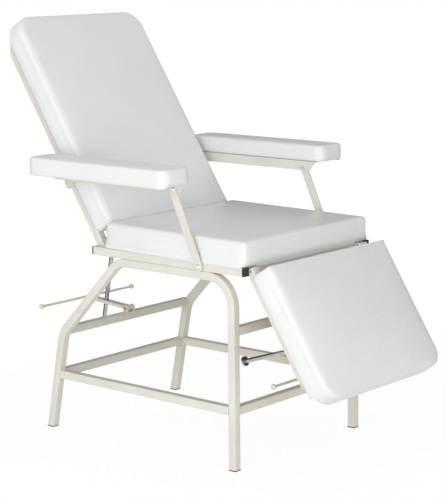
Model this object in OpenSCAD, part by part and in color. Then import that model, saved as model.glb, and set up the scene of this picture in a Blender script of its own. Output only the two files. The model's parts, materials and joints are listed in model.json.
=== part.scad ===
// Phlebotomy chair: bent square tube base, reclining backrest with armrests that stay level,
// tilting footrest, and two sliding rods held by canting locks with T handles.
// +Z is up, the chair faces -Y, and +X is the sitter's left. The origin is on the floor, in the
// middle of the chair's plan.

/* [Base frame] */
// Side of the square tube
tube = 25; // [22:1:28]
// Wall of the square tube
tube_wall = 1.5; // [1.2:0.1:2.5]
// Radius of the square tube's own corners
tube_corner = 2.5; // [2:0.1:3.5]
// Width over the two side frames
frame_w = 600; // [540:5:660]
// Height of the top of the side frames
frame_h = 573; // [520:5:620]
// Distance between front and rear feet, centre to centre
foot_spacing = 748; // [700:2:800]
// Distance of the rear top bend behind the front legs
shoulder_back = 445; // [400:2:480]
// Distance of the knee behind the front legs
knee_back = 687; // [660:1:720]
// Height of the knee
knee_h = 309; // [290:1:340]
// Bend radius at the top of the front legs
front_bend = 85; // [60:1:110]
// Bend radius of the shoulder and the knee
rear_bend = 85; // [60:1:95]
// Height of the lower bars and side rails
low_bar_h = 176.5; // [120:0.5:220]
// Height of the front upper bar
front_bar_h = 409; // [380:1:430]
// Height of the rear upper bar above the knee
rear_bar_rise = 7.5; // [5:0.5:9]
// Set forward of the rear upper bar from the knee
rear_bar_fore = 4; // [2:0.5:6]
// Thickness of the foot caps under the tubes
foot_cap_t = 3; // [2:0.5:6]

/* [Seat] */
// How far the seat rails run past the front legs
rail_front = 30; // [22:1:40]
// Length of a seat rail tube without its caps
rail_l = 582; // [560:1:620]
// Thickness of the black end caps
cap_t = 5; // [3:0.5:8]
// Set back of the front seat tube from the rail ends
front_tube_back = 9; // [7:1:20]
// Place of the rear seat tube, forward of the backrest pivots
rear_tube_fore = 80; // [60:1:120]
// Width of the seat cushion
seat_w = 590; // [540:2:592]
// Length of the seat cushion
seat_l = 538; // [500:2:560]
// Overhang of the seat cushion past the rail tubes
seat_over = 6; // [4:1:8]
// Thickness of the seat cushion over the rails
seat_t = 70; // [50:1:80]

/* [Backrest] */
// Angle of the backrest above the horizontal
back_angle = 57; // [50:1:66]
// Distance of the backrest pivots from the rear ends of the rails
back_pivot_in = 14.5; // [13:0.5:20]
// Width of the backrest cushion
back_w = 562; // [540:2:572]
// Length of the backrest cushion
back_l = 736; // [680:2:780]
// Distance of the backrest cushion from the pivots
back_start = 48; // [40:1:60]
// Thickness of the backrest cushion
back_t = 66; // [50:1:80]
// Height of the backrest's top tube along the backrest
back_frame_l = 722; // [660:1:750]
// Radius of the backrest cushion's top corners
back_corner = 68; // [30:1:90]

/* [Footrest] */
// Angle of the footrest below the horizontal
foot_angle = 57.5; // [50:0.5:65]
// Distance of the footrest pivots in front of the rail tubes
foot_pivot_out = 8; // [7:0.5:12]
// Width of the footrest cushion
foot_w = 570; // [540:2:584]
// Length of the footrest cushion
foot_l = 420; // [380:2:460]
// Distance of the footrest cushion from the pivots
foot_start = 12; // [10:1:20]
// Thickness of the footrest cushion
foot_t = 60; // [50:1:80]
// Distance of the footrest's end tube from the pivots
foot_frame_l = 384; // [350:1:400]
// Radius of the footrest cushion's lower corners
foot_corner = 55; // [30:1:80]

/* [Armrests] */
// Width of an arm pad
arm_w = 126; // [100:1:140]
// Thickness of an arm pad
arm_t = 50; // [40:1:60]
// Corner radius of an arm pad
arm_corner = 30; // [15:1:40]
// Leg of the arm's angle section
angle_leg = 30; // [24:1:32]
// Thickness of the arm's angle section
angle_t = 3; // [2.5:0.5:4]
// Width of a strut
strut_w = 26; // [22:1:30]
// Thickness of a strut
strut_t = 5; // [4:0.5:8]
// Height of the strut's upper bolt over its lower bolt
strut_rise = 215; // [190:1:230]
// Distance of the strut's upper bolt behind its lower bolt
strut_run = 96; // [80:1:110]
// Distance of the struts' lower bolts behind the front legs' front faces
strut_back = 124; // [110:1:140]

/* [Rods and handles] */
// Length of the backrest lock's lever from pin to handle
back_lever_l = 187; // [170:1:210]
// Angle of that lever above the horizontal
back_lever_rise = 4; // [2:0.5:6]
// Distance of the rod's slot from that lever's pin
back_slot_at = 102; // [90:1:115]
// Length of the footrest lock's lever from pin to handle
foot_lever_l = 174; // [160:1:190]
// Angle of that lever's lean forward from the vertical
foot_lever_lean = 19; // [15:0.5:22]
// Distance of the rod's slot from that lever's pin
foot_slot_at = 93; // [85:1:105]
// Diameter of the chrome rods
rod_d = 14; // [12:0.5:16]
// Diameter of the stop discs
stop_d = 30; // [24:1:36]
// Distance of the backrest rod's hinge from the backrest pivots
back_rod_s = 310; // [290:1:330]
// Length of the backrest rod from hinge to stop
back_rod_l = 577; // [565:1:585]
// Distance of the footrest rod's hinge from the footrest pivots
foot_rod_s = 260; // [250:1:270]
// Length of the footrest rod from hinge to stop
foot_rod_l = 419; // [400:1:430]
// Width of a lever bar
lever_w = 25; // [24:1:30]
// Thickness of a lever bar
lever_t = 10; // [8:0.5:12]
// Length of a handle bar over its knobs
handle_l = 433; // [380:1:460]
// Diameter of a handle bar
handle_d = 8; // [7:0.5:10]
// Diameter of a handle knob
knob_d = 17; // [14:0.5:22]

/* [Hidden] */
$fn = 48;

// Overrun of every cut
over = 1;
// Clearance between pieces that move past each other
play = 0.5;
// Clearance round a pin in its hole
pin_play = 0.08;
// Clearance between a soft piece and what carries it
soft_gap = 0.3;

// Paint, rubber, vinyl, plywood and metal
cream = [0.89, 0.88, 0.83];
black = [0.08, 0.08, 0.08];
vinyl = [0.93, 0.94, 0.94];
ply = [0.72, 0.60, 0.42];
chrome = [0.75, 0.76, 0.78];
zinc = [0.62, 0.62, 0.64];

// Places along Y are counted from the front face of the front legs, and placed() moves them
half_tube = tube / 2;
bore = tube - 2 * tube_wall;
frame_x = frame_w / 2 - half_tube;
inner_x = frame_w / 2 - tube;
leg_y = half_tube;
top_z = frame_h - half_tube;
shoulder_y = leg_y + shoulder_back;
knee_y = leg_y + knee_back;
rear_foot_y = leg_y + foot_spacing;
slope_angle = atan2(top_z - knee_h, knee_y - shoulder_y);
splay_angle = atan2(rear_foot_y - knee_y, knee_h);
knee_angle = 90 - slope_angle - splay_angle;

rail_z = frame_h + half_tube;
rail_top = frame_h + tube;
rail_front_y = -rail_front;
rail_rear_y = rail_l - rail_front;
front_tube_y = rail_front_y + front_tube_back + half_tube;
back_pivot_y = rail_rear_y - back_pivot_in;
rear_tube_y = back_pivot_y - rear_tube_fore;
foot_pivot_y = rail_front_y - foot_pivot_out;

// Tubes of the backrest and footrest run just inside the seat rails
panel_x = inner_x - 2 * play - half_tube;
panel_in = panel_x - half_tube;
panel_bend = 45;

// The middle of the plan, between the footrest's lower edge and the backrest's upper edge
front_reach = foot_pivot_y - (foot_start + foot_l) * cos(foot_angle)
    - (half_tube + foot_t) * sin(foot_angle);
rear_reach = back_pivot_y + (back_start + back_l) * cos(back_angle) - half_tube * sin(back_angle);
mid_y = (front_reach + rear_reach) / 2;

module placed() {
    translate([0, -mid_y, 0]) children();
}

module both_sides() {
    children();
    mirror([1, 0, 0]) children();
}

// Square tube: points of its outline, with steps in each rounded corner
corner_steps = 2;

function section_points(side, round) = [
    for (turn = [0 : 90 : 270], step = [0 : corner_steps])
        let (a = turn + step * 90 / corner_steps, c = side / 2 - round)
        [c * sign(cos(turn + 45)) + round * cos(a), c * sign(sin(turn + 45)) + round * sin(a)]
];

module outer_section() {
    polygon(section_points(tube, tube_corner));
}

module bore_section() {
    square(bore, center = true);
}

// Sweeps a section along straight runs and bends in the XZ plane. Each step is
// [run, bend radius, turn], and turns go towards +X.
module swept(steps, i = 0) {
    if (i < len(steps)) {
        run = steps[i][0];
        radius = steps[i][1];
        turn = steps[i][2];
        linear_extrude(run) children();
        translate([0, 0, run]) {
            if (turn > 0)
                translate([radius, 0, 0]) rotate([90, 0, 180])
                    rotate_extrude(angle = turn) translate([radius, 0]) children();
            translate([radius * (1 - cos(turn)), 0, radius * sin(turn)])
                rotate([0, turn, 0]) swept(steps, i + 1) children();
        }
    }
}

// A straight tube along +Z from the origin
module straight_tube(length) {
    difference() {
        linear_extrude(length) outer_section();
        translate([0, 0, -over]) linear_extrude(length + 2 * over) bore_section();
    }
}

// A straight tube along X, welded between two tubes that close its ends
module cross_tube(half_length, y, z) {
    translate([-half_length, y, z]) rotate([90, 0, 90]) straight_tube(2 * half_length);
}

// A plate across X with a round end at the origin, a straight body along +Y and a pin hole
module eye_plate(end_d, body_l, thick, hole_d) {
    rotate([90, 0, 90]) difference() {
        union() {
            cylinder(d = end_d, h = thick);
            translate([0, -end_d / 2, 0]) cube([body_l, end_d, thick]);
        }
        translate([0, 0, -over]) cylinder(d = hole_d + 2 * pin_play, h = thick + 2 * over);
    }
}

// Side frame: one tube from the front foot over the top to the splayed rear foot
front_turn = 90;
shoulder_cut = rear_bend * tan(slope_angle / 2);
knee_cut = rear_bend * tan(knee_angle / 2);
frame_steps = [
    [top_z - front_bend, front_bend, front_turn],
    [shoulder_y - leg_y - front_bend - shoulder_cut, rear_bend, slope_angle],
    [(top_z - knee_h) / sin(slope_angle) - shoulder_cut - knee_cut, rear_bend, knee_angle],
    [knee_h / cos(splay_angle) - knee_cut + tube, 0, 0]
];

module side_frame() {
    color(cream) placed() translate([-frame_x, leg_y, 0]) difference() {
        rotate([0, 0, 90]) swept(frame_steps) outer_section();
        rotate([0, 0, 90]) swept(frame_steps) bore_section();
        translate([-tube, -2 * tube, foot_cap_t - 2 * tube])
            cube([2 * tube, foot_spacing + 4 * tube, 2 * tube]);
    }
}

module side_frame_right() {
    side_frame();
}

module side_frame_left() {
    mirror([1, 0, 0]) side_frame();
}

// Cross bars, welded between the inner faces of the side frames
function rear_leg_y(z) = rear_foot_y - z * tan(splay_angle);

module rear_upper_bar() {
    color(cream) placed() cross_tube(inner_x, knee_y - rear_bar_fore, knee_h + rear_bar_rise);
}

module rear_lower_bar() {
    color(cream) placed() cross_tube(inner_x, rear_leg_y(low_bar_h), low_bar_h);
}

module front_upper_bar() {
    color(cream) placed() cross_tube(inner_x, leg_y, front_bar_h);
}

module front_lower_bar() {
    color(cream) placed() cross_tube(inner_x, leg_y, low_bar_h);
}

// Lower side rail, cut at its rear end to the splayed leg
module side_rail() {
    color(cream) placed() translate([-frame_x, 0, 0]) difference() {
        translate([0, tube, low_bar_h]) rotate([-90, 0, 0])
            straight_tube(rear_leg_y(low_bar_h) - tube);
        translate([-tube, rear_foot_y, 0]) rotate([splay_angle, 0, 0])
            translate([0, -half_tube, 0]) cube([2 * tube, 2 * tube, knee_h]);
    }
}

module side_rail_right() {
    side_rail();
}

module side_rail_left() {
    mirror([1, 0, 0]) side_rail();
}

// Foot caps: a sole under each leg and a plug inside the tube
plug_l = 15;
plug_side = bore - 2 * pin_play;

module foot_cap(lean) {
    sole = tube / cos(lean);
    translate([-half_tube, -sole / 2, 0]) cube([tube, sole, foot_cap_t]);
    intersection() {
        rotate([lean, 0, 0]) translate([0, 0, -plug_l])
            linear_extrude(3 * plug_l) square(plug_side, center = true);
        translate([-tube, -tube, 0]) cube([2 * tube, 2 * tube, foot_cap_t + plug_l]);
    }
}

module foot_caps() {
    color(black) placed() both_sides() translate([-frame_x, 0, 0]) {
        translate([0, leg_y, 0]) foot_cap(0);
        translate([0, rear_foot_y, 0]) foot_cap(splay_angle);
    }
}

// Seat rails: tubes welded on the side frames, each with a round boss for its strut
strut_bolt_d = 8;
strut_boss_d = 18;
strut_boss_h = 4;
pivot_d = 8;

module seat_rail() {
    color(cream) placed() translate([-frame_x, 0, rail_z]) difference() {
        union() {
            translate([0, rail_front_y, 0]) rotate([-90, 0, 0]) straight_tube(rail_l);
            translate([-half_tube - strut_boss_h, strut_back, 0]) rotate([0, 90, 0])
                cylinder(d = strut_boss_d, h = strut_boss_h);
        }
        translate([0, back_pivot_y, 0]) rotate([0, 90, 0])
            cylinder(d = pivot_d + 2 * pin_play, h = tube);
        translate([-tube, strut_back, 0]) rotate([0, 90, 0])
            cylinder(d = strut_bolt_d + 2 * pin_play, h = tube);
    }
}

module seat_rail_right() {
    seat_rail();
}

module seat_rail_left() {
    mirror([1, 0, 0]) seat_rail();
}

// Caps that close both ends of the seat rails; the rear plug stops short of the pivot bolt
rear_plug_l = back_pivot_in - pivot_d;

module end_cap(plug) {
    linear_extrude(cap_t) outer_section();
    translate([0, 0, -plug]) linear_extrude(plug) square(plug_side, center = true);
}

module rail_end_caps() {
    color(black) placed() both_sides() translate([-frame_x, 0, rail_z]) {
        translate([0, rail_front_y, 0]) rotate([90, 0, 0]) end_cap(plug_l);
        translate([0, rail_rear_y, 0]) rotate([-90, 0, 0]) end_cap(rear_plug_l);
    }
}

// Cross tubes between the seat rails, drilled for the screws of the seat board
screw_d = 5;
screw_head_d = 10;
screw_head_t = 2.5;
screw_grip = 8;
seat_screw_x = 180;

module at_seat_screws() {
    for (x = [-seat_screw_x, seat_screw_x], y = [front_tube_y, rear_tube_y])
        translate([x, y, frame_h]) children();
}

// A pan head screw along +Z with its head below the origin
module screw() {
    translate([0, 0, -screw_head_t])
        cylinder(d1 = screw_head_d - screw_head_t, d2 = screw_head_d, h = screw_head_t);
    cylinder(d = screw_d, h = tube + screw_grip);
}

module screw_hole() {
    translate([0, 0, -over]) cylinder(d = screw_d + 2 * pin_play, h = tube + screw_grip + 2 * over);
}

module seat_front_tube() {
    color(cream) placed() difference() {
        cross_tube(inner_x, front_tube_y, rail_z);
        at_seat_screws() screw_hole();
    }
}

module seat_rear_tube() {
    color(cream) placed() difference() {
        cross_tube(inner_x, rear_tube_y, rail_z);
        at_seat_screws() screw_hole();
    }
}

module seat_screws() {
    color(zinc) placed() at_seat_screws() screw();
}

// Hinge lugs on the front seat tube, one inboard of each footrest tube
lug_t = 6;
foot_lug_x = panel_in - play;
foot_lug_d = tube - 2 * tube_corner;

module foot_hinge_lugs() {
    lug_l = front_tube_y - half_tube - foot_pivot_y;
    color(cream) placed() both_sides() translate([-foot_lug_x, foot_pivot_y, rail_z])
        eye_plate(foot_lug_d, lug_l, lug_t, pivot_d);
}

// Cushions: rings of one plan outline, square at the foot, drawn in along the sides,
// rounded at the shoulder and crowned to the middle. The plan is w by l, starts at y = 0,
// and has one corner radius at its near end and one at its far end.
edge_steps = 4;
side_steps = 5;
least_round = tube_corner / 5;
// Shares of the plan that the rings of the crown keep
crown_shares = [0.86, 0.66, 0.40, 0.16];
// Power that rounds the crown
crown_power = 2.6;

function plan_points(w, l, near_r, far_r, inset, bow) = [
    for (corner = [0 : 3])
        let (r = max((corner == 1 || corner == 2 ? far_r : near_r) - inset, least_round),
             nr = max((corner < 2 ? far_r : near_r) - inset, least_round),
             sx = corner < 2 ? 1 : -1,
             nsx = corner == 0 || corner == 3 ? 1 : -1,
             c = [sx * (w / 2 - inset - r),
                  corner == 1 || corner == 2 ? l - inset - r : inset + r],
             nc = [nsx * (w / 2 - inset - nr), corner < 2 ? l - inset - nr : inset + nr],
             out = [cos(corner * 90), sin(corner * 90)],
             last = c + r * out,
             next = nc + nr * out)
        each concat(
            [for (step = [0 : edge_steps])
                let (a = (corner - 1 + step / edge_steps) * 90)
                c + r * [cos(a), sin(a)]],
            [for (step = [1 : side_steps - 1])
                let (u = step / side_steps)
                last + (next - last) * u - out * bow * 4 * u * (1 - u)])
];

function ring(w, l, near_r, far_r, inset, bow, z, keep) = [
    for (p = plan_points(w, l, near_r, far_r, inset, bow))
        [p[0] * keep, l / 2 + (p[1] - l / 2) * keep, z]
];

// A cushion's foot is drawn in by its rim
module cushion(w, l, t, near_r, far_r, edge, rim, crown, bow, wrap, pocket) {
    rings = concat(
        [ring(w, l, near_r, far_r, wrap, 0, pocket, 1)],
        [ring(w, l, near_r, far_r, wrap, 0, 0, 1)],
        [ring(w, l, near_r, far_r, rim, 0, 0, 1)],
        [ring(w, l, near_r, far_r, 0, bow / 2, rim, 1)],
        [ring(w, l, near_r, far_r, 0, bow, t / 2, 1)],
        [for (step = [0 : edge_steps])
            let (a = step * 90 / edge_steps)
            ring(w, l, near_r, far_r, edge * (1 - cos(a)), bow, t - edge + edge * sin(a), 1)],
        [for (s = crown_shares)
            ring(w, l, near_r, far_r, edge, bow, t + crown * (1 - pow(s, crown_power)), s)]
    );
    count = len(rings[0]);
    last = len(rings) - 1;
    points = concat([for (r = rings) each r], [[0, l / 2, pocket], [0, l / 2, t + crown]]);
    pocket_point = (last + 1) * count;
    faces = concat(
        [for (i = [0 : count - 1]) [pocket_point, i, (i + 1) % count]],
        [for (k = [0 : last - 1], i = [0 : count - 1])
            let (j = (i + 1) % count)
            each [[k * count + i, (k + 1) * count + i, (k + 1) * count + j],
                  [k * count + i, (k + 1) * count + j, k * count + j]]],
        [for (i = [0 : count - 1]) [pocket_point + 1, last * count + (i + 1) % count, last * count + i]]
    );
    polyhedron(points, faces, convexity = 6);
}

// Plywood board that fills the pocket under a cushion
wrap = 12;
board_t = 10;
pocket_t = board_t;

module board(w, l, near_r, far_r) {
    linear_extrude(board_t) polygon(plan_points(w, l, near_r, far_r, wrap + soft_gap, 0));
}

seat_corner = 12;
seat_edge = 9;
seat_rim = 3.6;
seat_crown = 4;
seat_bow = 1.5;
seat_front_y = rail_front_y - seat_over;

module seat_board() {
    color(ply) placed() difference() {
        translate([0, seat_front_y, rail_top]) board(seat_w, seat_l, seat_corner, seat_corner);
        at_seat_screws() screw_hole();
    }
}

module seat_cushion() {
    color(vinyl) placed() translate([0, seat_front_y, rail_top + soft_gap])
        cushion(seat_w, seat_l, seat_t, seat_corner, seat_corner, seat_edge, seat_rim,
            seat_crown, seat_bow, wrap, pocket_t);
}

// A bolt along +X: domed head with a hexagon socket at the origin, shank to +X
socket_share = 0.36;
dome_share = 0.62;
socket_depth_share = 0.6;

module bolt(diameter, head_d, head_t, length) {
    difference() {
        rotate([0, -90, 0]) cylinder(d1 = head_d, d2 = head_d * dome_share, h = head_t);
        translate([-head_t - over, 0, 0]) rotate([0, 90, 0])
            cylinder(d = head_d * socket_share, h = over + head_t * socket_depth_share, $fn = 6);
    }
    rotate([0, 90, 0]) cylinder(d = diameter, h = length);
}

// The strut and the line from the backrest's pivot to the arm's rear bolt are equal and
// parallel, so that the armrest stays level
strut_x = frame_w / 2 + strut_boss_h + play;
strut_lean = atan2(strut_run, strut_rise);
strut_l = strut_run / sin(strut_lean);
strut_head_d = 17;
strut_head_t = 4;
bolt_end = 6;
arm_leg_x = strut_x - play - angle_t;

module strut_bolts() {
    shank = strut_t + play + play / 2 + strut_boss_h + tube_wall + bolt_end;
    color(zinc) placed() both_sides()
        translate([-strut_x - strut_t - play / 2, strut_back, rail_z])
            bolt(strut_bolt_d, strut_head_d, strut_head_t, shank);
}

pivot_head_d = 15;
pivot_head_t = 4;

module back_pivot_bolts() {
    shank = play / 2 + tube + 2 * play + tube_wall + bolt_end;
    color(zinc) placed() both_sides()
        translate([-panel_in + play / 2, back_pivot_y, rail_z]) mirror([1, 0, 0])
            bolt(pivot_d, pivot_head_d, pivot_head_t, shank);
}

// The footrest's bolts pass through the lug and the footrest tube
module foot_pivot_bolts() {
    shank = lug_t + play + tube - tube_wall;
    color(zinc) placed() both_sides()
        translate([-foot_lug_x + lug_t, foot_pivot_y, rail_z]) mirror([1, 0, 0])
            bolt(pivot_d, pivot_head_d, pivot_head_t, shank);
}

// Lock brackets: two ears on a cross bar with the lever's pin through them
ear_t = 4;
ear_d = 20;
ear_gap = lever_w + 2 * play;
lock_pin_d = 8;
lock_rise = 12;
pin_head_d = 12;
pin_head_t = 2;
pin_end = 2;

module ear_pair(gap, end_d, body_l, pin_d) {
    both_sides() translate([gap / 2, 0, 0]) eye_plate(end_d, body_l, ear_t, pin_d);
}

module headed_pin(gap, pin_d) {
    grip = gap + 2 * ear_t;
    translate([-grip / 2, 0, 0]) rotate([0, 90, 0]) cylinder(d = pin_d, h = grip + pin_end);
    translate([-grip / 2 - pin_head_t, 0, 0]) rotate([0, 90, 0])
        cylinder(d = pin_d + pin_head_d - lock_pin_d, h = pin_head_t);
}

back_lock_y = knee_y - rear_bar_fore;
back_lock_z = knee_h + rear_bar_rise + half_tube + lock_rise;
foot_lock_y = -lock_rise;
foot_lock_z = front_bar_h;

module back_lock_bracket() {
    color(cream) placed() translate([0, back_lock_y, back_lock_z]) rotate([-90, 0, 0])
        ear_pair(ear_gap, ear_d, lock_rise, lock_pin_d);
}

module back_lock_pin() {
    color(zinc) placed() translate([0, back_lock_y, back_lock_z]) headed_pin(ear_gap, lock_pin_d);
}

module foot_lock_bracket() {
    color(cream) placed() translate([0, foot_lock_y, foot_lock_z])
        ear_pair(ear_gap, ear_d, lock_rise, lock_pin_d);
}

module foot_lock_pin() {
    color(zinc) placed() translate([0, foot_lock_y, foot_lock_z]) headed_pin(ear_gap, lock_pin_d);
}

// Backrest and footrest frames: one tube bent to a U, closed at its two ends. In each frame
// of reference the origin is on the pivots and +Z runs along the tubes.
module back_place() {
    placed() translate([0, back_pivot_y, rail_z]) rotate([back_angle - 90, 0, 0]) children();
}

module foot_place() {
    placed() translate([0, foot_pivot_y, rail_z]) rotate([90 + foot_angle, 0, 0]) children();
}
back_tail = 14;
foot_tail = 6;
panel_turn = 90;
panel_screw_in = 90;

module u_path(length, tail) {
    steps = [
        [length + tail - panel_bend, panel_bend, panel_turn],
        [2 * (panel_x - panel_bend), panel_bend, panel_turn],
        [length + tail - panel_bend, 0, 0]
    ];
    translate([-panel_x, 0, -tail]) swept(steps) children();
}

// Screws from behind the side tubes; side is 1 where the board is on -Y and -1 on +Y
module at_panel_screws(length, side) {
    for (x = [-panel_x, panel_x], z = [panel_screw_in, length - panel_screw_in])
        translate([x, side * half_tube, z]) rotate([side * 90, 0, 0]) children();
}

module u_frame(length, tail, side) {
    difference() {
        u_path(length, tail) outer_section();
        u_path(length, tail - tube_wall) bore_section();
        translate([-panel_x - tube, 0, 0]) rotate([0, 90, 0])
            cylinder(d = pivot_d + 2 * pin_play, h = 2 * (panel_x + tube));
        at_panel_screws(length, side) screw_hole();
    }
}

module back_frame() {
    color(cream) back_place() u_frame(back_frame_l, back_tail, 1);
}

module foot_frame() {
    color(cream) foot_place() u_frame(foot_frame_l, foot_tail, -1);
}

module back_screws() {
    color(zinc) back_place() at_panel_screws(back_frame_l, 1) screw();
}

module foot_screws() {
    color(zinc) foot_place() at_panel_screws(foot_frame_l, -1) screw();
}

// Rod hinges: ears that reach back from a cross tube to the rod's pin
rod_ear_gap = rod_d + 2 * play;
rod_ear_d = 18;
rod_pin_d = 6;
rod_reach = 26;

module back_cross_tube() {
    color(cream) back_place() cross_tube(panel_in, 0, back_rod_s + rod_reach);
}

module foot_cross_tube() {
    color(cream) foot_place() cross_tube(panel_in, 0, foot_rod_s + rod_reach);
}

module rod_ears(s) {
    translate([0, 0, s]) rotate([90, 0, 0])
        ear_pair(rod_ear_gap, rod_ear_d, rod_reach - half_tube, rod_pin_d);
}

module back_rod_bracket() {
    color(cream) back_place() rod_ears(back_rod_s);
}

module foot_rod_bracket() {
    color(cream) foot_place() rod_ears(foot_rod_s);
}

module back_rod_pin() {
    color(zinc) back_place() translate([0, 0, back_rod_s]) headed_pin(rod_ear_gap, rod_pin_d);
}

module foot_rod_pin() {
    color(zinc) foot_place() translate([0, 0, foot_rod_s]) headed_pin(rod_ear_gap, rod_pin_d);
}

// Backrest and footrest cushions on their boards
back_near = 14;
back_edge = 20;
back_rim = 3;
back_crown = 7;
back_bow = 3;

module back_pad_place() {
    back_place() translate([0, -half_tube, back_start]) rotate([90, 0, 0]) children();
}

module back_board() {
    color(ply) difference() {
        back_pad_place() board(back_w, back_l, back_near, back_corner);
        back_place() at_panel_screws(back_frame_l, 1) screw_hole();
    }
}

module back_cushion() {
    color(vinyl) back_pad_place() translate([0, 0, soft_gap])
        cushion(back_w, back_l, back_t, back_near, back_corner, back_edge, back_rim,
            back_crown, back_bow, wrap, pocket_t);
}

foot_near = 12;
foot_edge = 16;
foot_rim = 2.5;
foot_crown = 9;
foot_bow = 2.5;

module foot_pad_place() {
    foot_place() translate([0, half_tube, foot_start]) rotate([90, 0, 180]) children();
}

module foot_board() {
    color(ply) difference() {
        foot_pad_place() board(foot_w, foot_l, foot_near, foot_corner);
        foot_place() at_panel_screws(foot_frame_l, -1) screw_hole();
    }
}

module foot_cushion() {
    color(vinyl) foot_pad_place() translate([0, 0, soft_gap])
        cushion(foot_w, foot_l, foot_t, foot_near, foot_corner, foot_edge, foot_rim,
            foot_crown, foot_bow, wrap, pocket_t);
}

// Arm lugs: a block on the side of each backrest tube, a plate that reaches forward beside
// the cushion, and a boss for the arm's rear bolt
lug_block_out = 10.5;
lug_block_l = 30;
lug_plate_d = 24;
lug_boss_d = 20;
arm_bolt_grip = 9;
lug_gap = 0.4;
arm_pivot_z = strut_run * cos(back_angle) + strut_rise * sin(back_angle);
arm_pivot_fore = strut_rise * cos(back_angle) - strut_run * sin(back_angle);
lug_plate_x = panel_x + half_tube + lug_block_out;

module arm_lug() {
    translate([lug_plate_x - lug_block_out, -half_tube, arm_pivot_z - lug_block_l / 2])
        cube([lug_block_out, tube, lug_block_l]);
    translate([lug_plate_x, -arm_pivot_fore, arm_pivot_z]) difference() {
        union() {
            rotate([0, 90, 0]) cylinder(d = lug_plate_d, h = lug_t);
            translate([0, 0, -lug_plate_d / 2]) cube([lug_t, arm_pivot_fore + half_tube, lug_plate_d]);
            rotate([0, 90, 0]) cylinder(d = lug_boss_d, h = arm_leg_x - lug_gap - lug_plate_x);
        }
        rotate([0, 90, 0]) translate([0, 0, arm_leg_x - lug_gap - lug_plate_x - arm_bolt_grip])
            cylinder(d = strut_bolt_d + 2 * pin_play, h = arm_bolt_grip + over);
    }
}

module arm_lugs() {
    color(cream) back_place() both_sides() arm_lug();
}

// Armrest: an angle section with cut-back ends, its board and its pad. The front bolt
// carries the strut, and the rear bolt is in the lug.
arm_front = 72;
arm_rear = 74;
arm_under = 20.5;
angle_front_top = 45;
angle_front_cut = 21;
angle_rear_top = 86;
angle_rear_cut = 10;
arm_inset = 2;
arm_edge = 8;
arm_rim = 3;
arm_crown = 2;
arm_bow = 1;
arm_bolt_y = strut_back + strut_run;
arm_rear_bolt_y = back_pivot_y + strut_run;
arm_bolt_z = rail_z + strut_rise;
arm_z = arm_bolt_z + arm_under;
arm_pad_y = arm_bolt_y - arm_front;
arm_pad_l = arm_rear_bolt_y + arm_rear - arm_pad_y;

module arm_angle() {
    low = arm_z - angle_leg;
    top_front = arm_bolt_y - angle_front_top;
    top_rear = arm_rear_bolt_y + angle_rear_top;
    color(cream) placed() difference() {
        translate([-arm_leg_x, 0, 0]) intersection() {
            union() {
                translate([-angle_t, top_front, low])
                    cube([angle_t, top_rear - top_front, angle_leg]);
                translate([-angle_leg, top_front, arm_z - angle_t])
                    cube([angle_leg, top_rear - top_front, angle_t]);
            }
            translate([-angle_leg, 0, 0]) rotate([90, 0, 90]) linear_extrude(angle_leg)
                polygon([[top_front, arm_z], [top_front, arm_z - angle_t],
                    [top_front + angle_front_cut, low], [top_rear - angle_rear_cut, low],
                    [top_rear, arm_z - angle_t], [top_rear, arm_z]]);
        }
        for (y = [arm_bolt_y, arm_rear_bolt_y])
            translate([-arm_leg_x - angle_t - over, y, arm_bolt_z]) rotate([0, 90, 0])
                cylinder(d = strut_bolt_d + 2 * pin_play, h = angle_t + 2 * over);
    }
}

module arm_place() {
    placed() translate([-arm_leg_x + arm_inset - arm_w / 2, arm_pad_y, arm_z]) children();
}

module arm_board() {
    color(ply) arm_place() board(arm_w, arm_pad_l, arm_corner, arm_corner);
}

module arm_pad() {
    color(vinyl) arm_place() translate([0, 0, soft_gap])
        cushion(arm_w, arm_pad_l, arm_t, arm_corner, arm_corner, arm_edge, arm_rim,
            arm_crown, arm_bow, wrap, pocket_t);
}

// Front bolt of an arm, from its outer side through the strut and the angle
module arm_bolt() {
    shank = strut_t + play / 2 + play + angle_t;
    color(zinc) placed() translate([-strut_x - strut_t - play / 2, arm_bolt_y, arm_bolt_z])
        bolt(strut_bolt_d, strut_head_d, strut_head_t, shank);
    color(zinc) placed() translate([-strut_x + play + angle_t, arm_bolt_y, arm_bolt_z])
        rotate([0, 90, 0]) cylinder(d = strut_head_d - pin_head_t, h = pin_head_t);
}

module arm_rear_bolts() {
    shank = play / 2 + angle_t + lug_gap + arm_bolt_grip - play;
    color(zinc) placed() both_sides()
        translate([-arm_leg_x - angle_t - play / 2, arm_rear_bolt_y, arm_bolt_z])
            bolt(strut_bolt_d, strut_head_d, strut_head_t, shank);
}

module arm_angle_right() {
    arm_angle();
}

module arm_angle_left() {
    mirror([1, 0, 0]) arm_angle();
}

module arm_board_right() {
    arm_board();
}

module arm_board_left() {
    mirror([1, 0, 0]) arm_board();
}

module arm_pad_right() {
    arm_pad();
}

module arm_pad_left() {
    mirror([1, 0, 0]) arm_pad();
}

module arm_bolt_right() {
    arm_bolt();
}

module arm_bolt_left() {
    mirror([1, 0, 0]) arm_bolt();
}

// Strut: a flat bar with round ends from the rail's boss to the arm
module strut() {
    color(cream) placed() translate([-strut_x - strut_t, strut_back, rail_z])
        rotate([-strut_lean, 0, 0]) rotate([0, 90, 0]) difference() {
            union() {
                cylinder(d = strut_w, h = strut_t);
                translate([-strut_l, 0, 0]) cylinder(d = strut_w, h = strut_t);
                translate([-strut_l, -strut_w / 2, 0]) cube([strut_l, strut_w, strut_t]);
            }
            for (x = [0, -strut_l])
                translate([x, 0, -over])
                    cylinder(d = strut_bolt_d + 2 * pin_play, h = strut_t + 2 * over);
        }
}

module strut_right() {
    strut();
}

module strut_left() {
    mirror([1, 0, 0]) strut();
}

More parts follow.
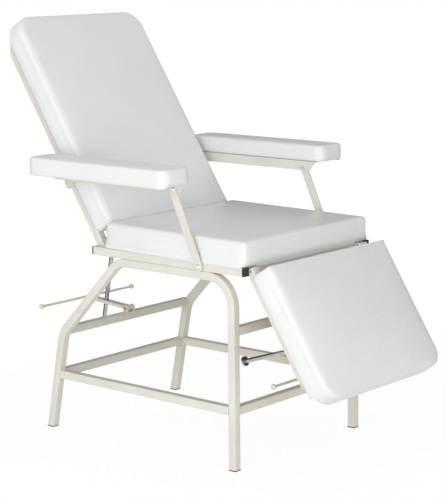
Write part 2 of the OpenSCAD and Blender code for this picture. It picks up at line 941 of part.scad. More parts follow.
// Rods: each is hinged to its panel, runs through the slot of its lock's lever and ends in a
// stop disc. A frame of reference has its origin on the hinge and +Z down the rod.
back_hinge_y = back_pivot_y + back_rod_s * cos(back_angle);
back_hinge_z = rail_z + back_rod_s * sin(back_angle);
back_slot_y = back_lock_y + back_slot_at * cos(back_lever_rise);
back_slot_z = back_lock_z + back_slot_at * sin(back_lever_rise);
back_rod_lean = atan2(back_slot_y - back_hinge_y, back_hinge_z - back_slot_z);
foot_hinge_y = foot_pivot_y - foot_rod_s * cos(foot_angle);
foot_hinge_z = rail_z - foot_rod_s * sin(foot_angle);
foot_slot_y = foot_lock_y - foot_slot_at * sin(foot_lever_lean);
foot_slot_z = foot_lock_z - foot_slot_at * cos(foot_lever_lean);
foot_rod_lean = atan2(foot_slot_y - foot_hinge_y, foot_hinge_z - foot_slot_z);
rod_eye_d = 16;
rod_tip = 3;
stop_t = 6;
stop_end = 4;

module back_rod_place() {
    placed() translate([0, back_hinge_y, back_hinge_z])
        rotate([180 + back_rod_lean, 0, 0]) children();
}

module foot_rod_place() {
    placed() translate([0, foot_hinge_y, foot_hinge_z])
        rotate([180 + foot_rod_lean, 0, 0]) children();
}

module rod(length) {
    difference() {
        union() {
            rotate([0, 90, 0]) cylinder(d = rod_eye_d, h = rod_d, center = true);
            cylinder(d = rod_d, h = length - rod_tip);
            translate([0, 0, length - rod_tip])
                cylinder(d1 = rod_d, d2 = rod_d - 2 * rod_tip, h = rod_tip);
        }
        rotate([0, 90, 0]) cylinder(d = rod_pin_d + 2 * pin_play, h = 2 * rod_d, center = true);
    }
}

module rod_stop(length) {
    translate([0, 0, length - rod_tip - stop_end - stop_t]) difference() {
        cylinder(d = stop_d, h = stop_t);
        translate([0, 0, -over]) cylinder(d = rod_d + 2 * pin_play, h = stop_t + 2 * over);
    }
}

module back_rod() {
    color(chrome) back_rod_place() rod(back_rod_l);
}

module back_rod_stop() {
    color(chrome) back_rod_place() rod_stop(back_rod_l);
}

module foot_rod() {
    color(chrome) foot_rod_place() rod(foot_rod_l);
}

module foot_rod_stop() {
    color(chrome) foot_rod_place() rod_stop(foot_rod_l);
}

// Levers: a flat bar with an eye for the lock's pin, a slot that grips the rod when the
// lever cants, and a hollow end for the handle. +Z runs along the lever from its pin.
lever_eye_wall = 4;
lever_eye_d = lock_pin_d + 2 * lever_eye_wall;
slot_w = rod_d + 2 * play;

module back_lever_place() {
    placed() translate([0, back_lock_y, back_lock_z])
        rotate([back_lever_rise - 90, 0, 0]) children();
}

module foot_lever_place() {
    placed() translate([0, foot_lock_y, foot_lock_z])
        rotate([180 - foot_lever_lean, 0, 0]) children();
}

module lever(length, slot_at, slot_l) {
    difference() {
        union() {
            rotate([0, 90, 0]) cylinder(d = lever_eye_d, h = lever_w, center = true);
            translate([-lever_w / 2, -lever_t / 2, 0]) cube([lever_w, lever_t, length]);
        }
        rotate([0, 90, 0]) cylinder(d = lock_pin_d + 2 * pin_play, h = 2 * lever_w, center = true);
        translate([0, 0, length]) rotate([0, 90, 0])
            cylinder(d = handle_d + 2 * pin_play, h = 2 * lever_w, center = true);
        translate([0, 0, slot_at]) rotate([90, 0, 0]) {
            for (y = [-1, 1])
                translate([0, y * (slot_l - slot_w) / 2, 0])
                    cylinder(d = slot_w, h = 2 * lever_t, center = true);
            cube([slot_w, slot_l - slot_w, 2 * lever_t], center = true);
        }
    }
}

// Handle bar with a tapered neck and a ball at each end
neck_l = 12;
neck_d = 11;

module handle(at) {
    ball_x = handle_l / 2 - knob_d / 2;
    translate([0, 0, at]) rotate([0, 90, 0]) {
        cylinder(d = handle_d, h = 2 * ball_x, center = true);
        for (side = [0, 180])
            rotate([0, side, 0]) {
                translate([0, 0, ball_x]) sphere(d = knob_d);
                translate([0, 0, ball_x - neck_l]) cylinder(d1 = handle_d, d2 = neck_d, h = neck_l);
            }
    }
}
back_slot_l = 38;
foot_slot_l = 36;

module back_lever() {
    color(cream) back_lever_place() lever(back_lever_l, back_slot_at, back_slot_l);
}

module back_handle() {
    color(cream) back_lever_place() handle(back_lever_l);
}

module foot_lever() {
    color(cream) foot_lever_place() lever(foot_lever_l, foot_slot_at, foot_slot_l);
}

module foot_handle() {
    color(cream) foot_lever_place() handle(foot_lever_l);
}

side_frame_right();
side_frame_left();
rear_upper_bar();
rear_lower_bar();
front_upper_bar();
front_lower_bar();
side_rail_right();
side_rail_left();
foot_caps();
seat_rail_right();
seat_rail_left();
rail_end_caps();
seat_front_tube();
seat_rear_tube();
foot_hinge_lugs();
seat_board();
seat_cushion();
seat_screws();
strut_bolts();
back_pivot_bolts();
foot_pivot_bolts();
back_lock_bracket();
back_lock_pin();
foot_lock_bracket();
foot_lock_pin();
back_frame();
back_cross_tube();
back_rod_bracket();
back_rod_pin();
arm_lugs();
arm_rear_bolts();
back_board();
back_cushion();
back_screws();
arm_angle_right();
arm_board_right();
arm_pad_right();
arm_bolt_right();
arm_angle_left();
arm_board_left();
arm_pad_left();
arm_bolt_left();
strut_right();
strut_left();
back_rod();
back_rod_stop();
back_lever();
back_handle();
foot_frame();
foot_cross_tube();
foot_rod_bracket();
foot_rod_pin();
foot_board();
foot_cushion();
foot_screws();
foot_rod();
foot_rod_stop();
foot_lever();
foot_handle();
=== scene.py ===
import json
import math

import bmesh
import bpy
from mathutils import Matrix, Vector


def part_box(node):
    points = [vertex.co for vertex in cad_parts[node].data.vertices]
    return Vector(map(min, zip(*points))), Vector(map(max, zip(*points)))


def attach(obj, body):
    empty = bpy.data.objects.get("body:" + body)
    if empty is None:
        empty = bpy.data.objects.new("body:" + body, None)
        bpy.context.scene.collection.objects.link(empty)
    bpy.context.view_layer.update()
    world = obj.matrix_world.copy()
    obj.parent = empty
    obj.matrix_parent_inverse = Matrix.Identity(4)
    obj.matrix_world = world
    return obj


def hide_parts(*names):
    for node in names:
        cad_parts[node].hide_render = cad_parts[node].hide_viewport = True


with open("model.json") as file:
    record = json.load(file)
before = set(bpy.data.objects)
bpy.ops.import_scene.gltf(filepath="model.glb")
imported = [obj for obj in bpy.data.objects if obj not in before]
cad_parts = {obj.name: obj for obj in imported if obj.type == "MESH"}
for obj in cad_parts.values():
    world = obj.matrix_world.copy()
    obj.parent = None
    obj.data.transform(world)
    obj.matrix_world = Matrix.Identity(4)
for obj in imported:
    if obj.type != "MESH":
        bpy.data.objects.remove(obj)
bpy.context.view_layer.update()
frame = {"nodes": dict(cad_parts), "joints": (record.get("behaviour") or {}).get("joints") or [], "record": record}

# The chair is seen from in front and from the sitter's right, by an eye 1.5 metres up and 5
# metres away, through a long lens. The picture is 446 by 500, and the lens fits its height.
scene = bpy.context.scene
eye = Vector((-3.86785, -3.322387, 1.48245))
heading = math.radians(40.52)
tilt_down = math.radians(10.14)
roll = math.radians(-0.5507)
picture_height = 500
focal_pixels = 1695.3
lens = bpy.data.cameras.new("view")
lens.sensor_width = 36
lens.lens = lens.sensor_width * focal_pixels / picture_height
camera = bpy.data.objects.new("view", lens)
scene.collection.objects.link(camera)
camera.matrix_world = (
    Matrix.Translation(eye)
    @ Matrix.Rotation(heading - math.pi / 2, 4, "Z")
    @ Matrix.Rotation(math.pi / 2 - tilt_down, 4, "X")
    @ Matrix.Rotation(roll, 4, "Z")
)
scene.camera = camera

# A white studio: an even white room, a white floor that keeps a faint shadow near the feet,
# and soft lamps. The lamp on the left of the picture is the strongest, so the sides of the
# pads that face it are the brightest.
scene.view_settings.view_transform = "Standard"
room_level = 0.51
floor_size = 60
floor_paint = (0.9, 0.9, 0.9, 1)
floor_glow = 1.06
shadow_keep = 0.14
shadow_fade = (0.9, 2.6)


def new_material(name):
    material = bpy.data.materials.new(name)
    material.use_nodes = True
    material.node_tree.nodes.clear()
    return material, material.node_tree.nodes, material.node_tree.links


def seen_directly(made, joined):
    """1 for what the eye, a mirror or a glass sees, and 0 for what only lights the chair."""
    path = made.new("ShaderNodeLightPath")
    share = path.outputs["Is Camera Ray"]
    for ray in ("Is Glossy Ray", "Is Transmission Ray"):
        either = made.new("ShaderNodeMath")
        either.operation = "MAXIMUM"
        joined.new(share, either.inputs[0])
        joined.new(path.outputs[ray], either.inputs[1])
        share = either.outputs[0]
    return share


def put_mixed(made, joined, share, first, second, output):
    """Joins a mix of two shaders, all of the second where share is 1, to a new output."""
    mixed = made.new("ShaderNodeMixShader")
    joined.new(share, mixed.inputs["Fac"])
    joined.new(first.outputs[0], mixed.inputs[1])
    joined.new(second.outputs[0], mixed.inputs[2])
    joined.new(mixed.outputs[0], made.new(output).inputs["Surface"])


room = bpy.data.worlds.new("white room")
room.use_nodes = True
scene.world = room
made, joined = room.node_tree.nodes, room.node_tree.links
made.clear()
ambient = made.new("ShaderNodeBackground")
ambient.inputs["Color"].default_value = (1, 1, 1, 1)
ambient.inputs["Strength"].default_value = room_level
backdrop = made.new("ShaderNodeBackground")
backdrop.inputs["Color"].default_value = (1, 1, 1, 1)
backdrop.inputs["Strength"].default_value = 1
put_mixed(made, joined, seen_directly(made, joined), ambient, backdrop, "ShaderNodeOutputWorld")


def as_object(name, block):
    mesh = bpy.data.meshes.new(name)
    block.to_mesh(mesh)
    block.free()
    piece = bpy.data.objects.new(name, mesh)
    scene.collection.objects.link(piece)
    return piece


sheet = bmesh.new()
bmesh.ops.create_grid(sheet, x_segments=1, y_segments=1, size=floor_size / 2)
floor = as_object("floor", sheet)
floor_white, made, joined = new_material("floor white")
matt = made.new("ShaderNodeBsdfDiffuse")
matt.inputs["Color"].default_value = floor_paint
glow = made.new("ShaderNodeEmission")
glow.inputs["Strength"].default_value = floor_glow
place = made.new("ShaderNodeTexCoord")
away = made.new("ShaderNodeVectorMath")
away.operation = "LENGTH"
joined.new(place.outputs["Object"], away.inputs[0])
fade = made.new("ShaderNodeMapRange")
fade.inputs["From Min"].default_value = shadow_fade[0]
fade.inputs["From Max"].default_value = shadow_fade[1]
fade.inputs["To Min"].default_value = 1 - shadow_keep
joined.new(away.outputs["Value"], fade.inputs["Value"])
share = made.new("ShaderNodeMath")
share.operation = "MULTIPLY"
joined.new(seen_directly(made, joined), share.inputs[0])
joined.new(fade.outputs["Result"], share.inputs[1])
put_mixed(made, joined, share.outputs[0], matt, glow, "ShaderNodeOutputMaterial")
floor.data.materials.append(floor_white)

lamps = {
    "left": ((-4.6, -1.2, 1.5), 3.0, 3.0, 96),
    "front": ((1.2, -4.6, 2.0), 3.0, 3.0, 3),
    "low": ((-1.6, -4.0, 0.45), 3.0, 0.8, 33),
    "top": ((-0.6, 0.4, 4.2), 3.0, 3.0, 7),
}
aim = Vector((0, 0, 0.65))
for name, (at, wide, tall, watts) in lamps.items():
    light = bpy.data.lights.new(name, "AREA")
    light.shape = "RECTANGLE"
    light.size = wide
    light.size_y = tall
    light.energy = watts
    lamp = bpy.data.objects.new(name, light)
    lamp.location = at
    lamp.rotation_euler = (aim - Vector(at)).to_track_quat("-Z", "Y").to_euler()
    scene.collection.objects.link(lamp)

# A dark grey flag stands in an arc on the far side of the chair. Only gloss sees it, so the
# chrome rods get their dark edges, as they do in a studio.
flag_radius = 1.15
flag_middle = Vector((0, 0.15, 0))
flag_height = 1.2
flag_from = math.radians(-60)
flag_arc = math.radians(200)
flag_steps = 24
flag_paint = (0.10, 0.10, 0.10, 1)
arc = bmesh.new()
start = flag_middle + Vector((math.cos(flag_from), math.sin(flag_from), 0)) * flag_radius
foot_of_flag = arc.verts.new(start)
top_of_flag = arc.verts.new(start + Vector((0, 0, flag_height)))
upright = arc.edges.new((foot_of_flag, top_of_flag))
bmesh.ops.spin(
    arc, geom=[foot_of_flag, top_of_flag, upright], cent=flag_middle, axis=(0, 0, 1),
    angle=flag_arc, steps=flag_steps, use_merge=False, use_duplicate=False,
)
flag = as_object("flag", arc)
flag_grey, made, joined = new_material("flag grey")
dark = made.new("ShaderNodeBsdfDiffuse")
dark.inputs["Color"].default_value = flag_paint
joined.new(dark.outputs[0], made.new("ShaderNodeOutputMaterial").inputs["Surface"])
flag.data.materials.append(flag_grey)
flag.visible_camera = False
flag.visible_diffuse = False
flag.visible_transmission = False
flag.visible_shadow = False

# The base, the rails, the bent tubes of backrest and footrest, the armrests' angles and struts
# and the levers are mild steel, welded and then powder coated in cream. The coat has a fine
# orange peel, and rounds off each sharp edge.
cream = (0.80, 0.785, 0.71, 1)
cream_shade = (0.74, 0.725, 0.645, 1)


def new_group(name, inputs, outputs):
    """A node group with number inputs, given as names and values, and named outputs."""
    group = bpy.data.node_groups.new(name, "ShaderNodeTree")
    for socket, value in inputs.items():
        made_socket = group.interface.new_socket(
            socket, in_out="INPUT", socket_type="NodeSocketFloat"
        )
        made_socket.default_value = value
    for socket in outputs:
        group.interface.new_socket(socket, in_out="OUTPUT", socket_type="NodeSocketFloat")
    inside = group.nodes.new("NodeGroupInput")
    outside = group.nodes.new("NodeGroupOutput")
    return group, inside.outputs, outside.inputs


def put_group(made, group, **values):
    placed = made.new("ShaderNodeGroup")
    placed.node_tree = group
    for socket, value in values.items():
        placed.inputs[socket.replace("_", " ")].default_value = value
    return placed


# Uneven surface: fine bumps of one size, and slow clouds of tone, both from the place.
uneven, given, wanted = new_group(
    "uneven surface",
    {"Bumps per metre": 400.0, "Clouds per metre": 7.0, "Detail": 2.0},
    ("Height", "Clouds"),
)
place = uneven.nodes.new("ShaderNodeTexCoord")
for rate, out in (("Bumps per metre", "Height"), ("Clouds per metre", "Clouds")):
    noise = uneven.nodes.new("ShaderNodeTexNoise")
    uneven.links.new(place.outputs["Object"], noise.inputs["Vector"])
    uneven.links.new(given[rate], noise.inputs["Scale"])
    uneven.links.new(given["Detail"], noise.inputs["Detail"])
    uneven.links.new(noise.outputs["Fac"], wanted[out])


def shaded(made, joined, **plain):
    """A Principled shader with its plain values set, joined to the output."""
    shader = made.new("ShaderNodeBsdfPrincipled")
    for socket, value in plain.items():
        shader.inputs[socket.replace("_", " ")].default_value = value
    joined.new(shader.outputs[0], made.new("ShaderNodeOutputMaterial").inputs["Surface"])
    return shader


tones_meet = (0.35, 0.65)


def two_tones(made, joined, mask, first, second):
    """A colour that goes from the first to the second over the middle of the mask."""
    ramp = made.new("ShaderNodeValToRGB")
    for point, at, tone in zip(ramp.color_ramp.elements, tones_meet, (first, second)):
        point.position = at
        point.color = tone
    joined.new(mask, ramp.inputs["Fac"])
    return ramp.outputs["Color"]


def ranged(made, joined, mask, low, high):
    """A value that goes from low to high as the mask goes from 0 to 1."""
    span = made.new("ShaderNodeMapRange")
    span.inputs["To Min"].default_value = low
    span.inputs["To Max"].default_value = high
    joined.new(mask, span.inputs["Value"])
    return span.outputs["Result"]


def rough_skin(made, joined, shader, height, depth, edge):
    """Small bumps of that depth over edges rounded to that radius."""
    rounded = made.new("ShaderNodeBevel")
    rounded.samples = 4
    rounded.inputs["Radius"].default_value = edge
    bump = made.new("ShaderNodeBump")
    bump.inputs["Distance"].default_value = depth
    joined.new(height, bump.inputs["Height"])
    joined.new(rounded.outputs["Normal"], bump.inputs["Normal"])
    joined.new(bump.outputs["Normal"], shader.inputs["Normal"])


def hard_finish(name, shades, roughness, bumps, clouds, depth, edge, rough_by="Clouds", **plain):
    """A coat, plate or plastic with its two shades in clouds, over fine bumps of that depth."""
    material, made, joined = new_material(name)
    shader = shaded(made, joined, **plain)
    skin = put_group(made, uneven, Bumps_per_metre=bumps, Clouds_per_metre=clouds)
    shade = two_tones(made, joined, skin.outputs["Clouds"], *shades)
    joined.new(shade, shader.inputs["Base Color"])
    gloss = ranged(made, joined, skin.outputs[rough_by], *roughness)
    joined.new(gloss, shader.inputs["Roughness"])
    rough_skin(made, joined, shader, skin.outputs["Height"], depth, edge)
    return material


smooth_turn = math.radians(50)
same_point = 0.00002


def dress(slot, material):
    """Gives the solids of a slot their finish, with round faces smooth and flat faces flat."""
    for part in frame["record"]["subparts"]:
        if part["material_slot"] != slot:
            continue
        solid = frame["nodes"][part["node"]]
        for place_on in solid.material_slots:
            place_on.material = material
        solid.data.polygons.foreach_set("use_smooth", [True] * len(solid.data.polygons))
        weld = solid.modifiers.new("joined points", "WELD")
        weld.merge_threshold = same_point
        split = solid.modifiers.new("sharp edges", "EDGE_SPLIT")
        split.split_angle = smooth_turn
        split.use_edge_sharp = False
        solid.modifiers.new("flat faces", "WEIGHTED_NORMAL")


powder_coat = hard_finish(
    "cream powder coat", (cream_shade, cream), roughness=(0.30, 0.44), bumps=420, clouds=7,
    depth=0.00006, edge=0.0009, Coat_Weight=0.25, Coat_Roughness=0.18,
)
dress("cream_paint", powder_coat)

# Black polyethylene caps close the feet and the ends of the seat rails. They are moulded,
# pushed in, and matt, with a fine spark grain.
cap_black = (0.022, 0.022, 0.023, 1)
cap_shade = (0.012, 0.012, 0.013, 1)
black_plastic = hard_finish(
    "black moulded plastic", (cap_shade, cap_black), roughness=(0.45, 0.62), bumps=1500,
    clouds=30, depth=0.00005, edge=0.0006,
)
dress("black_plastic", black_plastic)

# Bolts, screws and pins are zinc plated steel: pale, a little warm, and dulled by the barrel
# that they were plated in.
zinc_pale = (0.86, 0.85, 0.80, 1)
zinc_shade = (0.74, 0.73, 0.69, 1)
zinc = hard_finish(
    "zinc plate", (zinc_shade, zinc_pale), roughness=(0.22, 0.42), rough_by="Height",
    bumps=2200, clouds=140, depth=0.00002, edge=0.0003, Metallic=1.0,
)
dress("zinc", zinc)

# The two rods and their stop discs are turned steel, chrome plated and nearly mirror bright,
# with faint clouds from handling.
chrome_pale = (0.53, 0.53, 0.54, 1)
chrome_shade = (0.45, 0.44, 0.46, 1)
chrome = hard_finish(
    "chrome plate", (chrome_shade, chrome_pale), roughness=(0.06, 0.16), bumps=900, clouds=60,
    depth=0.000004, edge=0.0004, Metallic=1.0,
)
dress("chrome", chrome)

# Each pad is built on a birch plywood board, seen only from below and behind: pale face
# veneer, cut by a router, with its grain along the chair.
birch_pale = (0.74, 0.61, 0.43, 1)
birch_dark = (0.58, 0.44, 0.28, 1)
grain_per_metre = (110, 2.5, 2.5)
birch, made, joined = new_material("birch plywood")
shader = shaded(made, joined, Specular_IOR_Level=0.3)
place = made.new("ShaderNodeTexCoord")
along = made.new("ShaderNodeMapping")
along.inputs["Scale"].default_value = grain_per_metre
joined.new(place.outputs["Object"], along.inputs["Vector"])
grain = made.new("ShaderNodeTexNoise")
grain.inputs["Scale"].default_value = 1
grain.inputs["Detail"].default_value = 6
grain.inputs["Distortion"].default_value = 0.25
joined.new(along.outputs["Vector"], grain.inputs["Vector"])
veneer = two_tones(made, joined, grain.outputs["Fac"], birch_dark, birch_pale)
joined.new(veneer, shader.inputs["Base Color"])
gloss = ranged(made, joined, grain.outputs["Fac"], low=0.55, high=0.8)
joined.new(gloss, shader.inputs["Roughness"])
rough_skin(made, joined, shader, grain.outputs["Fac"], depth=0.0001, edge=0.0005)
dress("plywood", birch)

# The pads are foam blocks under white vinyl, pulled over the board and stapled behind it.
# The vinyl has a fine pebble grain, a soft gloss, and slow waves where it was stretched.
white = (0.86, 0.87, 0.875, 1)
white_shade = (0.83, 0.845, 0.845, 1)
pebble_per_metre = 900
pebble_depth = 0.00006
wave_depth = 0.0016
vinyl, made, joined = new_material("white vinyl")
shader = shaded(made, joined, Coat_Weight=0.15, Coat_Roughness=0.3)
place = made.new("ShaderNodeTexCoord")
pebble = made.new("ShaderNodeTexVoronoi")
pebble.feature = "SMOOTH_F1"
pebble.inputs["Scale"].default_value = pebble_per_metre
joined.new(place.outputs["Object"], pebble.inputs["Vector"])
skin = put_group(made, uneven, Bumps_per_metre=16, Clouds_per_metre=5, Detail=3)
shade = two_tones(made, joined, skin.outputs["Clouds"], white_shade, white)
joined.new(shade, shader.inputs["Base Color"])
gloss = ranged(made, joined, skin.outputs["Clouds"], low=0.32, high=0.46)
joined.new(gloss, shader.inputs["Roughness"])
waves = made.new("ShaderNodeBump")
waves.inputs["Distance"].default_value = wave_depth
joined.new(skin.outputs["Height"], waves.inputs["Height"])
pebbles = made.new("ShaderNodeBump")
pebbles.invert = True
pebbles.inputs["Distance"].default_value = pebble_depth
joined.new(pebble.outputs["Distance"], pebbles.inputs["Height"])
joined.new(waves.outputs["Normal"], pebbles.inputs["Normal"])
joined.new(pebbles.outputs["Normal"], shader.inputs["Normal"])

corner_steps = 12
edge_steps = 8


def foam_block(width, length, thick, near_corner, far_corner, edge, rim_round):
    """A block with round corners that lies on z = 0 with its near end at y = 0."""
    block = bmesh.new()
    middle = Matrix.Translation((0, length / 2, thick / 2))
    bmesh.ops.create_cube(block, size=1, matrix=middle @ Matrix.Diagonal((width, length, thick, 1)))
    for radius, end in ((near_corner, 0), (far_corner, length)):
        corners = [
            e for e in block.edges
            if abs(e.verts[0].co.z - e.verts[1].co.z) > thick / 2
            and abs(e.verts[0].co.y - end) < radius / 2
        ]
        bmesh.ops.bevel(
            block, geom=corners, offset=radius, segments=corner_steps, profile=0.5,
            affect="EDGES", material=-1,
        )
    flush = edge / 100
    for radius, level in ((edge, thick), (rim_round, 0)):
        rim = [e for e in block.edges if all(abs(v.co.z - level) < flush for v in e.verts)]
        bmesh.ops.bevel(
            block, geom=rim, offset=radius, segments=edge_steps, profile=0.5,
            affect="EDGES", material=-1,
        )
    return block


def set_mesh(piece):
    """Takes the piece's modifiers into its mesh."""
    graph = bpy.context.evaluated_depsgraph_get()
    finished = bpy.data.meshes.new_from_object(piece.evaluated_get(graph))
    piece.modifiers.clear()
    piece.data = finished


puff_frames = 14
puff_pressure = 5
puff_quality = 3
stapled_below = 0.003
least_room = 1e-6


def puff(piece, room_to_move):
    """Swells the cover by a short cloth simulation, and softly stops each point before it
    moves further than room_to_move says for its place."""
    start = [v.co.copy() for v in piece.data.vertices]
    stapled = piece.vertex_groups.new(name="stapled")
    stapled.add([v.index for v in piece.data.vertices if v.co.z < stapled_below], 1.0, "REPLACE")
    cloth = piece.modifiers.new("puff", "CLOTH")
    cloth.settings.quality = puff_quality
    cloth.settings.use_pressure = True
    cloth.settings.uniform_pressure_force = puff_pressure
    cloth.settings.vertex_group_mass = "stapled"
    cloth.settings.effector_weights.gravity = 0
    for moment in range(1, puff_frames + 1):
        scene.frame_set(moment)
    graph = bpy.context.evaluated_depsgraph_get()
    swollen = [v.co.copy() for v in piece.evaluated_get(graph).data.vertices]
    piece.modifiers.clear()
    scene.frame_set(1)
    for v, was, now in zip(piece.data.vertices, start, swollen):
        step = now - was
        most = room_to_move(was)
        if step.length > 0:
            share = 1 - math.exp(-step.length / max(most, least_room))
            v.co = was + step.normalized() * most * share
    piece.vertex_groups.clear()


def pushed_out(across, along, radius, crispness):
    """How far a point on a round edge moves out, both ways, to make the edge crisper."""
    if across <= 0 or along <= 0:
        return 0, 0
    turn = math.atan2(along, across)
    push = crispness * radius * (math.sqrt(2) - 1) * math.sin(2 * turn) ** 4
    return push * math.cos(turn), push * math.sin(turn)


wrap = 0.012
board_play = 0.0003
pocket_deep = 0.010
pocket_below = 0.0105
pocket_edge = 0.0004
least_corner = 0.002


def cut_pocket(piece, width, length, near_corner, far_corner):
    """Cuts the board's room into the pad's underside, inside the cover's wrap."""
    inset = wrap + board_play
    pocket = foam_block(
        width - 2 * inset, length - 2 * inset, pocket_deep + pocket_below,
        max(near_corner - inset, least_corner), max(far_corner - inset, least_corner),
        pocket_edge, pocket_edge,
    )
    bmesh.ops.translate(pocket, verts=pocket.verts, vec=(0, inset, -pocket_below))
    cutter = as_object(piece.name + " pocket", pocket)
    cut = piece.modifiers.new("pocket", "BOOLEAN")
    cut.operation = "DIFFERENCE"
    cut.solver = "MANIFOLD"
    cut.object = cutter
    set_mesh(piece)
    bpy.data.objects.remove(cutter)


cloth_cell = 0.006
flat_middle = 2.6


def upholster(name, size, corners, edge, rim_round, crown, bow, crispness, place, shape):
    """A pad: block, simulated puff, crisper near end, board pocket. The block is smaller than
    size by the bow, which the puff of its sides fills. The pad is made lying down with its
    near end at y = 0. Then shape moves each point to fit what carries the pad, and place puts
    it on the chair."""
    width, length, thick = size
    near_corner, far_corner = corners
    block = foam_block(
        width - 2 * bow, length - 2 * bow, thick, near_corner, far_corner, edge, rim_round
    )
    bmesh.ops.translate(block, verts=block.verts, vec=(0, bow, 0))
    piece = as_object(name, block)
    remesh = piece.modifiers.new("even cells", "REMESH")
    remesh.mode = "VOXEL"
    remesh.voxel_size = cloth_cell
    set_mesh(piece)

    def room_to_move(at):
        """How far the cover may stand out there, in metres."""
        across = min(1, abs(at.x) / (width / 2))
        down = min(1, abs(at.y / length * 2 - 1))
        over_top = crown * (1 - across ** flat_middle) * (1 - down ** flat_middle)
        up = min(1, max(0, at.z / thick))
        return over_top * up ** 4 + bow * 4 * up * (1 - up)

    puff(piece, room_to_move)
    finer = piece.modifiers.new("finer", "SUBSURF")
    finer.levels = 1
    finer.render_levels = 1
    set_mesh(piece)
    for v in piece.data.vertices:
        near = edge + bow - v.co.y
        back, up = pushed_out(near, v.co.z - thick + edge, edge, crispness)
        near = near_corner + bow - v.co.y
        out = abs(v.co.x) - width / 2 + bow + near_corner
        more_back, aside = pushed_out(near, out, near_corner, crispness / 2)
        v.co += Vector((math.copysign(aside, v.co.x), -back - more_back, up))
        v.co += shape(v.co)
    cut_pocket(piece, width, length, near_corner, far_corner)
    piece.data.transform(place)
    piece.data.polygons.foreach_set("use_smooth", [True] * len(piece.data.polygons))
    piece.data.materials.clear()
    piece.data.materials.append(vinyl)
    return piece


def eased(value, low, high):
    """0 below low, 1 above high, and a smooth rise between them."""
    share = min(1, max(0, (value - low) / (high - low)))
    return share * share * (3 - 2 * share)


def between(ends, share):
    return ends[0] + (ends[1] - ends[0]) * share


# Seat pad: a boxed block with crisp edges on the seat rails. It is a little higher at the
# back, where it presses on the backrest, and its rim bulges over the rails and front tube.
low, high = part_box("seat_cushion")
seat_size = (high.x - low.x, high.y - low.y, 0.070)
seat_rim = 0.0036
seat_rise = (0.0025, 0.0075)
seat_longer = 0.009
top_shorter = 0.6
rail_side = 0.3003
rim_height = 0.022
bulge_band = 0.025
rim_drop = (0.010, 0.0045)
drop_band = (0.0065, 0.0035)
front_drop = 0.0055
front_lip = (0.009, 0.013)
hinge_clear = (0.225, 0.240)


def seat_shape(at):
    """The seat rises to the back, and its rim bulges out and hangs down beside the steel."""
    along = min(1, max(0, at.y / seat_size[1]))
    rear = max(0, 2 * along - 1) ** 2
    up = min(1, max(0, at.z / seat_size[2]))
    near_rim = 1 - eased(at.z, 0, rim_height)
    side = seat_size[0] / 2
    bulge = (rail_side - side + seat_rim) * near_rim
    bulge *= eased(abs(at.x), side - bulge_band, side - seat_rim)
    drop = between(rim_drop, along) * near_rim
    drop *= eased(abs(at.x), side - drop_band[0], side - drop_band[1])
    lip = front_drop * near_rim * (1 - eased(at.y, *front_lip))
    lip *= 1 - eased(abs(at.x), *hinge_clear)
    rise = up * between(seat_rise, along)
    longer = seat_longer * rear * (1 - top_shorter * up ** 3)
    return Vector((math.copysign(bulge, at.x), longer, rise - drop - lip))


seat_pad = upholster(
    "seat_pad", seat_size, corners=(0.012, 0.008), edge=0.009, rim_round=seat_rim, crown=0.004,
    bow=0.0015, crispness=0, place=Matrix.Translation((0, low.y, low.z)), shape=seat_shape,
)
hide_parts("seat_cushion")
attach(seat_pad, "base")

# Backrest pad: thicker in the middle, with a wide soft edge, round top corners and a crisp
# lower end. Its board is screwed to the bent tube, and its side rims hang a little over it.
hinges = {joint["name"]: joint for joint in frame["joints"]}
half_tube = 0.0125
tube_side = 0.2743
soft_gap = 0.0003
hang_band = 0.002
hang_start = (0.002, 0.010)
back_size = (0.562, 0.736, 0.066)
back_angle = math.radians(57)
back_start = 0.048
back_drop = 0.0085


def hangs_by(drop):
    """A shape that lets the cover's side rims hang down by drop beside the bent tube."""

    def hang(at):
        near_rim = 1 - eased(at.z, 0, 3 * drop)
        outside = eased(abs(at.x), tube_side, tube_side + hang_band)
        return Vector((0, 0, -drop * near_rim * outside * eased(at.y, *hang_start)))

    return hang


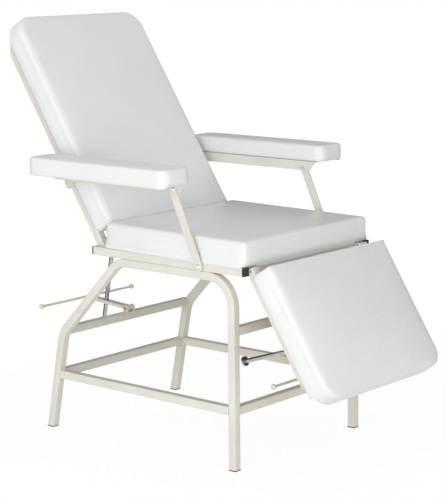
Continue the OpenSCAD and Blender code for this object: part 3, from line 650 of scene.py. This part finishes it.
back_place = (
    Matrix.Translation(hinges["backrest_recline"]["pos_m"])
    @ Matrix.Rotation(back_angle - math.pi / 2, 4, "X")
    @ Matrix.Translation((0, -half_tube, back_start))
    @ Matrix.Rotation(math.pi / 2, 4, "X")
    @ Matrix.Translation((0, 0, soft_gap))
)
back_pad = upholster(
    "back_pad", back_size, corners=(0.018, 0.068), edge=0.020, rim_round=0.003, crown=0.007,
    bow=0.003, crispness=0.7, place=back_place, shape=hangs_by(back_drop),
)
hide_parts("back_cushion")
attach(back_pad, "backrest")

# Footrest pad: made and fixed like the backrest's, but turned end for end. Its crisp upper
# end lies close to the seat's front tube, and its lower corners are round.
foot_size = (0.570, 0.420, 0.060)
foot_angle = math.radians(57.5)
foot_start = 0.012
foot_drop = 0.011
foot_place = (
    Matrix.Translation(hinges["footrest_tilt"]["pos_m"])
    @ Matrix.Rotation(math.pi / 2 + foot_angle, 4, "X")
    @ Matrix.Translation((0, half_tube, foot_start))
    @ Matrix.Rotation(math.pi, 4, "Z")
    @ Matrix.Rotation(math.pi / 2, 4, "X")
    @ Matrix.Translation((0, 0, soft_gap))
)
foot_pad = upholster(
    "foot_pad", foot_size, corners=(0.014, 0.055), edge=0.016, rim_round=0.0025, crown=0.009,
    bow=0.0025, crispness=0.6, place=foot_place, shape=hangs_by(foot_drop),
)
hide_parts("foot_cushion")
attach(foot_pad, "footrest")

# Arm pads: two long narrow blocks on boards that are screwed to the angles, one made as the
# mirror of the other. The outer rim hangs a little below the board.
low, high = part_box("arm_pad_right")
arm_size = (high.x - low.x, high.y - low.y, 0.050)
arm_drop = 0.0055
arm_band = (0.030, 0.009)


def arm_shape(at):
    """Lets the outer rim of the right pad hang down."""
    outside = eased(-at.x, arm_size[0] / 2 - arm_band[0], arm_size[0] / 2 - arm_band[1])
    return Vector((0, 0, -arm_drop * outside * (1 - eased(at.z, 0, 3 * arm_drop))))


right_pad = upholster(
    "arm_rest_pad_right", arm_size, corners=(0.030, 0.030), edge=0.008, rim_round=0.003,
    crown=0.002, bow=0.001, crispness=0,
    place=Matrix.Translation(((low.x + high.x) / 2, low.y, low.z)), shape=arm_shape,
)
left_pad = bpy.data.objects.new("arm_rest_pad_left", right_pad.data.copy())
scene.collection.objects.link(left_pad)
left_pad.data.transform(Matrix.Scale(-1, 4, (1, 0, 0)))
left_pad.data.flip_normals()
for pad, side in ((right_pad, "right"), (left_pad, "left")):
    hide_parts("arm_pad_" + side)
    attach(pad, "arm_" + side)
